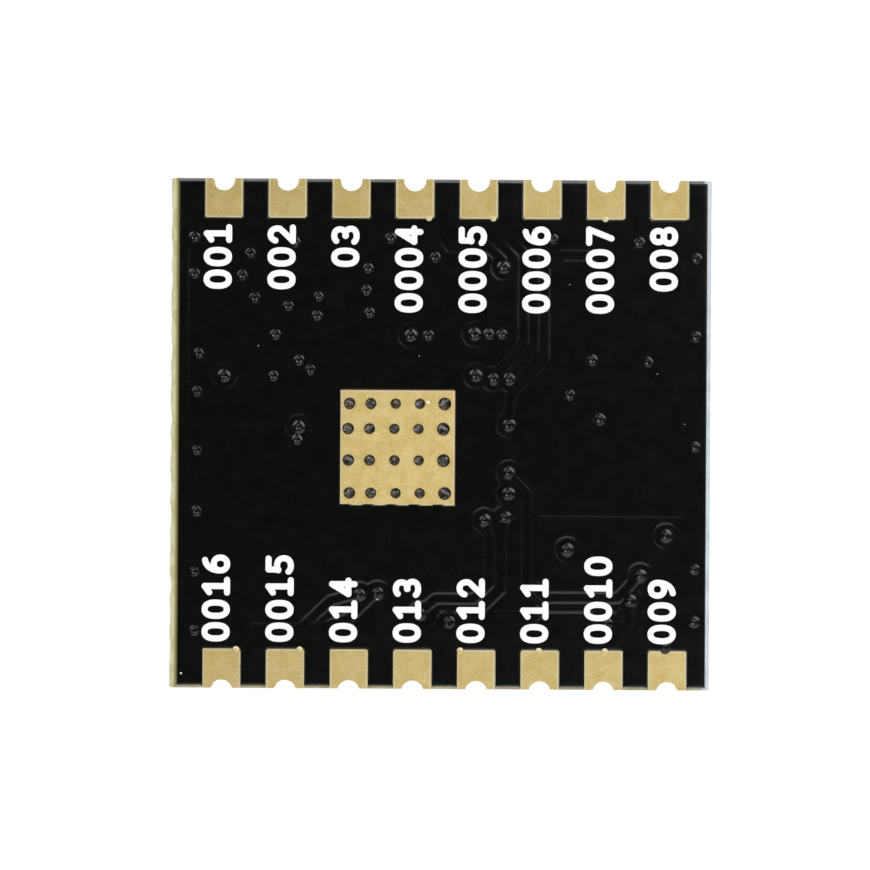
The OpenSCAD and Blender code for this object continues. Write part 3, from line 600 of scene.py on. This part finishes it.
# Painted light: both golds are one finish. The thermal pad's copy is made brighter (1.12 against 0.96),
# standing in for how the lamps light it.
edge_gold = gold_finish("edge_pad_gold", pad_low, pad_high, 0.96, next_low[0] - pad_low[0])
dressed(edge_gold, *pad_names)
thermal_low, thermal_high = (np.array(corner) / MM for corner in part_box("thermal_pad"))
dressed(gold_finish("thermal_pad_gold", thermal_low, thermal_high, 1.12), "thermal_pad")


# ---- Plugged bores ----
# Flux and mask from the far side stand in the thermal pad's bores. Each plug bulges off centre with a
# spiral fold, glossy and dark, and its uneven rim creeps out over the gold.

def residue_paint(wire, place):
    stain = grain(wire, place, 0.16, 2.0)
    return {
        "Base Color": stain.rise(0.4, 0.7).blend(linear(12, 9, 5), linear(70, 52, 28)),
        "Roughness": 0.14 + stain * 0.12,
        "Normal": bumped(wire, stain, 0.002),
    }


residue = finish("flux_residue", {"IOR": 1.55, "Specular IOR Level": 0.7}, residue_paint)
bores = flat_edges("thermal_pad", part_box("thermal_pad")[1][2])
centres, bore_radii = [], []
for x, y in np.unique(np.round(loop_centres(bores), 2), axis=0):
    gap = np.sqrt(((bores.mean(1) - [x, y]) ** 2).sum(1)).min()
    if gap < 0.3:
        centres.append((x, y))
        bore_radii.append(gap)
turns = 40
bulge_height, fold_height, plug_depth = 0.055, 0.012, 0.075
lip_start, lip_height = 0.8, 0.003
plug_points, plug_faces = [], []
placed = 0
gold_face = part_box("thermal_pad")[1][2] / MM
share = np.linspace(0.0, 1.0, 21)[1:]
r = np.repeat(share, turns)
a = np.tile(np.arange(turns) / turns * 2 * math.pi, len(share))
for (x, y), bore in zip(centres, bore_radii):
    phase, two, spin = chance.random(3) * 2 * math.pi
    lean = math.radians(225 + 35 * math.sin(spin))
    reach_out = bore * (1.09 + 0.09 * chance.random())
    made = revolved((x, y), reach_out * share, np.zeros(len(share)), turns,
                    lambda a: (0.08 * np.cos(a - lean) + 0.05 * np.sin(2 * a + two)
                               + 0.03 * np.sin(3 * a + phase)))
    bulge = bulge_height * np.exp(-((r * np.cos(a) + 0.12) ** 2 + (r * np.sin(a) + 0.18) ** 2) / 0.3)
    fold = fold_height * np.sin(2 * a + 3.2 * r + spin) * np.sin(math.pi * r)
    lip = soft_step(r, lip_start, 1.0)
    made[:, 2] = gold_face + (bulge + fold - plug_depth) * (1 - lip) + lip_height * lip
    hub = np.array([[x, y, made[:turns, 2].mean()]])
    spokes = np.arange(turns)
    plug_points += [made, hub]
    rows = ring_faces(len(share), turns) + placed
    cap = np.stack([np.full(turns, len(made)), spokes, np.roll(spokes, -1)], axis=1) + placed
    plug_faces.append(np.concatenate([rows[:, [0, 1, 2]], rows[:, [0, 2, 3]], cap]))
    placed += len(made) + 1
plugs = surface("bore_plugs", np.concatenate(plug_points), np.concatenate(plug_faces), residue)


# ---- Gold nubs and dust ----
# Where a track runs into a pad, its gold shows as a small round nub past the window's edge. A few grains
# of white dust lie on the lacquer.

def domed(x, y, z, radius, height, turns=24):
    """A flat dome: height (1 - r^2) over a disc of a radius, its rim at z."""
    rings = np.linspace(0.02, 1.0, 8)
    made = revolved((x, y), radius * rings, z + height * (1 - rings ** 2), turns, lambda a: 0 * a)
    return made, ring_faces(len(rings), turns)


def domes(name, spots, height, material):
    """One piece of several domes, each given by its x, y and radius."""
    parts = [domed(x, y, lacquer_face - dome_sink, radius, height) for x, y, radius in spots]
    shift = np.cumsum([0] + [len(made) for made, _ in parts[:-1]])
    piece = surface(name, np.concatenate([made for made, _ in parts]),
                    np.concatenate([faces + start for (_, faces), start in zip(parts, shift)]), material)


def pad_corner(number, side):
    """The inner corner of a pad, side -1 for its left and 1 for its right."""
    low, high = (np.array(corner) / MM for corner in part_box(pad_names[number - 1]))
    return (low[0] if side < 0 else high[0]), (low[1] if low[1] > 0 else high[1])


nub_radius = 0.1
nub_inset = 0.02
dome_height = 0.024
dome_sink = 0.002
nubs = []
for number, side, inset in ((4, 1, 0.16), (5, 1, 0.14), (7, 1, 0.62), (10, 1, 0.56), (11, 1, 0.63),
                            (12, -1, 0.1), (15, 1, 0.14), (16, 1, 0.14)):
    x, y = pad_corner(number, side)
    nubs.append((x - side * inset, y + math.copysign(nub_inset, y), nub_radius))
domes("track_nubs", nubs, dome_height, edge_gold)
# x, y and radius of each grain
dust_spots = ((-8.1, -7.55, 0.03), (-1.95, -5.2, 0.02), (-0.39, 1.0, 0.05), (-5.73, 2.75, 0.013),
              (-0.68, 2.46, 0.013), (6.8, 1.93, 0.014), (7.66, 0.36, 0.014), (4.03, 4.72, 0.013))


# ---- White numbers ----
# Each pad's number is printed beside it in thick white ink, a stroke at a time with round ends.

stroke_width = 0.2
glyph_height = 0.9
glyph_width = 0.62
glyph_advance = 0.71
label_start = 6.6
label_offset = -0.18
ink_height = 0.014
ink_sink = 0.004


def bowl(x, y, reach_x, reach_y, start, end, squareness=2.4):
    """Part of a rounded loop: sine and cosine, each raised towards the corners."""
    a = np.radians(np.linspace(start, end, 26))
    c, s = np.cos(a), np.sin(a)
    return np.stack([x + reach_x * np.sign(c) * np.abs(c) ** (2 / squareness),
                     y + reach_y * np.sign(s) * np.abs(s) ** (2 / squareness)], axis=1)


def line(*spots):
    return np.array(spots, float)


digits = {
    "0": [bowl(0.5, 0.5, 0.5, 0.5, 0, 360)],
    "1": [line((0.08, 0.8), (0.54, 1)), line((0.54, 1), (0.54, 0)), line((0.06, 0), (1, 0))],
    "2": [np.concatenate([bowl(0.48, 0.7, 0.46, 0.3, 165, -28, 2.1), line((0.02, 0))]),
          line((0.02, 0), (1, 0))],
    "3": [bowl(0.42, 0.74, 0.48, 0.26, 140, -90, 2.2), bowl(0.42, 0.25, 0.53, 0.25, 90, -145, 2.2)],
    "4": [line((0.74, 0), (0.74, 1)), line((0.74, 1), (0, 0.27)), line((0, 0.27), (1, 0.27))],
    "5": [line((0.92, 1), (0.12, 1)), line((0.12, 1), (0.1, 0.56)),
          bowl(0.4, 0.31, 0.56, 0.31, 125, -140, 2.2)],
    "6": [bowl(0.5, 0.3, 0.48, 0.3, 0, 360, 2.2), bowl(0.98, 0.32, 0.96, 0.68, 180, 100, 2.2)],
    "7": [line((0, 1), (1, 1)), line((1, 1), (0.34, 0))],
    "8": [bowl(0.5, 0.75, 0.42, 0.25, 0, 360, 2.2), bowl(0.5, 0.26, 0.5, 0.26, 0, 360, 2.2)],
    "9": [bowl(0.5, 0.7, 0.48, 0.3, 0, 360, 2.2), bowl(0.02, 0.68, 0.96, 0.68, 0, -80, 2.2)],
}


def ink_stroke(path):
    """Ink along a path: half a flat ellipse across it, whose width and height close in a half circle
    at each end."""
    half = stroke_width / 2
    steps = np.diff(path, axis=0)
    lengths = np.hypot(*steps.T)
    keep = np.append(True, lengths > 1e-6)
    path = path[keep]
    lengths = lengths[lengths > 1e-6]
    run = np.append(0, np.cumsum(lengths))
    ends = half * (1 - np.cos(np.linspace(0, math.pi / 2, 7)))
    spots = np.unique(np.round(np.concatenate([
        -half + ends, np.linspace(0, run[-1], max(2, int(run[-1] / 0.03))), run[-1] + half - ends]), 5))
    inner = np.clip(spots, 0, run[-1])
    x, y = (np.interp(inner, run, path[:, k]) for k in (0, 1))
    middles = (run[1:] + run[:-1]) / 2
    heading = np.unwrap(np.arctan2(*np.diff(path, axis=0).T[::-1]))
    angle = np.interp(inner, middles, heading)
    beyond = spots - inner
    x, y = x + beyond * np.cos(angle), y + beyond * np.sin(angle)
    reach = np.sqrt(np.maximum(1 - (beyond / half) ** 2, 0.0))
    a = np.linspace(0, math.pi, 9)
    side = half * reach[:, None] * np.cos(a)
    lift = ink_height * np.sqrt(reach[:, None]) * np.sin(a) ** 0.6
    made = np.stack([x[:, None] + side * np.sin(angle)[:, None], y[:, None] - side * np.cos(angle)[:, None],
                     lift], axis=2)
    rows, columns = made.shape[:2]
    index = np.arange(rows * columns).reshape(rows, columns)
    faces = np.stack([index[:-1, :-1], index[1:, :-1], index[1:, 1:], index[:-1, 1:]], axis=2)
    return made.reshape(-1, 3), faces.reshape(-1, 4)


def ink_paint(wire, place):
    body = grain(wire, place, 0.06, 2.0)
    return {
        "Base Color": body.blend(linear(252, 252, 252), linear(240, 241, 243)),
        "Roughness": 0.55 + body * 0.2,
        "Normal": bumped(wire, body, 0.003),
    }


ink = finish("white_ink", {"IOR": 1.48}, ink_paint)
domes("dust_grains", dust_spots, dome_height, ink)
label_lengths = {"upper": (3, 3, 2, 4, 4, 4, 4, 3), "lower": (3, 4, 3, 3, 3, 3, 4, 4)}
label_points, label_faces = [], []
placed = 0
for number, name in enumerate(pad_names, start=1):
    pad_low, pad_high = (np.array(corner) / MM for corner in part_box(name))
    upper = pad_low[1] > 0
    text = str(number).zfill(label_lengths["upper" if upper else "lower"][(number - 1) % 8])
    middle_x = (pad_low[0] + pad_high[0]) / 2 + label_offset
    first_y = label_start - glyph_advance * len(text) if upper else -label_start
    for place, digit in enumerate(text):
        for path in digits[digit]:
            scale = np.array([glyph_width - stroke_width, glyph_height - stroke_width])
            flat = path * scale + stroke_width / 2 + [(glyph_advance - glyph_width) / 2, -glyph_height / 2]
            made, faces = ink_stroke(flat)
            turned = np.stack([middle_x - made[:, 1], first_y + place * glyph_advance + made[:, 0],
                               lacquer_face - ink_sink + made[:, 2]], axis=1)
            turned[:, 2] += relief_at(turned)
            for x, y, crest, width, lift in bump_shapes:
                out = np.hypot(turned[:, 0] - x, turned[:, 1] - y)
                turned[:, 2] += lift * np.exp(-((out - crest) / width) ** 2) * (out < tent_reach)
            label_points.append(turned)
            label_faces.append(faces + placed)
            placed += len(turned)
labels = surface("pad_numbers", np.concatenate(label_points), np.concatenate(label_faces), ink)


# ---- Shield can and solder ----
# Thin tinned sheet with folded walls, soldered down by its feet. Rolling left faint lines along X.

def tin_paint(wire, place):
    lines = grain(wire, place, 0.05, 3.0, 0.6, (30.0, 1.0, 1.0))
    clouds = grain(wire, place, 1.2, 3.0)
    spots = grain(wire, place, 0.1, 1.0)
    return {
        "Base Color": clouds.blend(linear(214, 214, 210), linear(188, 190, 190)),
        "Roughness": 0.24 + clouds * 0.16 + lines * 0.12,
        "Normal": bumped(wire, lines * 0.6 + spots * 0.3, 0.004, rounded(wire, 0.03)),
    }


tin = finish("tinned_sheet", {"Metallic": 1.0}, tin_paint)
dressed(tin, "shield_can", "radio_leads", "memory_leads", "crystal_lid")


def solder_paint(wire, place):
    crystals = grain(wire, place, 0.08, 2.0)
    return {
        "Base Color": crystals.blend(linear(205, 206, 206), linear(172, 174, 178)),
        "Roughness": 0.22 + crystals * 0.25,
        "Normal": bumped(wire, crystals, 0.008, rounded(wire, 0.04)),
    }


solder = finish("solder", {"Metallic": 1.0}, solder_paint)
dressed(solder, "can_solder", "chip_solder", "part_solder")


# ---- Chips and crystal ----
# Moulded resin with a fine spark-eroded texture, and a ceramic base under the crystal's metal lid.

def resin_paint(wire, place):
    texture = grain(wire, place, 0.05, 2.0)
    return {
        "Base Color": texture.blend(linear(38, 38, 40), linear(54, 54, 55)),
        "Roughness": 0.55 + texture * 0.25,
        "Normal": bumped(wire, texture, 0.01, rounded(wire, 0.03)),
    }


resin = finish("chip_resin", {"IOR": 1.5}, resin_paint)
dressed(resin, "radio_chip", "memory_chip")


def ceramic_paint(wire, place):
    body = grain(wire, place, 0.07, 2.0)
    return {
        "Base Color": body.blend(linear(92, 88, 84), linear(70, 67, 64)),
        "Roughness": 0.6 + body * 0.2,
        "Normal": bumped(wire, body, 0.006, rounded(wire, 0.03)),
    }


dressed(finish("crystal_ceramic", {"IOR": 1.6}, ceramic_paint), "crystal_base")


def socket_paint(wire, place):
    body = grain(wire, place, 0.08, 2.0)
    return {
        "Base Color": body.blend(linear(226, 219, 200), linear(208, 200, 180)),
        "Roughness": 0.5 + body * 0.15,
        "Normal": bumped(wire, body, 0.005, rounded(wire, 0.03)),
    }


dressed(finish("socket_resin", {"IOR": 1.6}, socket_paint), "socket_insulator")


def contact_paint(wire, place):
    wear = grain(wire, place, 0.09, 2.0)
    return {
        "Base Color": wear.blend(linear(232, 204, 138), linear(214, 180, 108)),
        "Roughness": 0.24 + wear * 0.2,
        "Normal": bumped(wire, wear, 0.003, rounded(wire, 0.03)),
    }


dressed(finish("contact_gold", {"Metallic": 1.0}, contact_paint), "socket_shell", "socket_pin")


# ---- Capacitors, resistors and inductors ----
# Small ceramic blocks with tinned ends. A resistor's film faces away from the board.

def block_finish(name, body_light, body_dark, end_share, top=None):
    """A block's finish: tinned over end_share of its length at each end, its own ceramic between."""
    start, stop = (np.array(corner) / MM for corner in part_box(name))
    long_axis = int((stop - start)[:2].argmax())
    middle = (start + stop)[long_axis] / 2
    reach = (stop - start)[long_axis] * (0.5 - end_share)

    def paint(wire, place):
        speck = grain(wire, place, 0.06, 2.0)
        along_part = axis(wire, place, long_axis) - middle
        ends = (along_part * along_part).rise((reach - 0.01) ** 2, (reach + 0.01) ** 2)
        body = speck.blend(body_light, body_dark)
        if top:
            film = (start[2] + 0.05 - axis(wire, place, 2)).rise(0.0, 0.03)
            body = film.blend(body, top)
        return {
            "Base Color": ends.blend(body, speck.blend(linear(206, 205, 200), linear(180, 181, 182))),
            "Metallic": ends,
            "Roughness": 0.42 + speck * 0.2 - ends * 0.12,
            "Normal": bumped(wire, speck, 0.006, rounded(wire, 0.03)),
        }

    dressed(finish(name, {"IOR": 1.6}, paint), name)


for name in nodes:
    if name.startswith("capacitor"):
        block_finish(name, linear(186, 152, 112), linear(160, 124, 86), 0.24)
    if name.startswith("resistor"):
        block_finish(name, linear(232, 230, 224), linear(214, 212, 206), 0.2, linear(30, 30, 32))
    if name.startswith("inductor"):
        block_finish(name, linear(96, 104, 116), linear(72, 80, 92), 0.22)
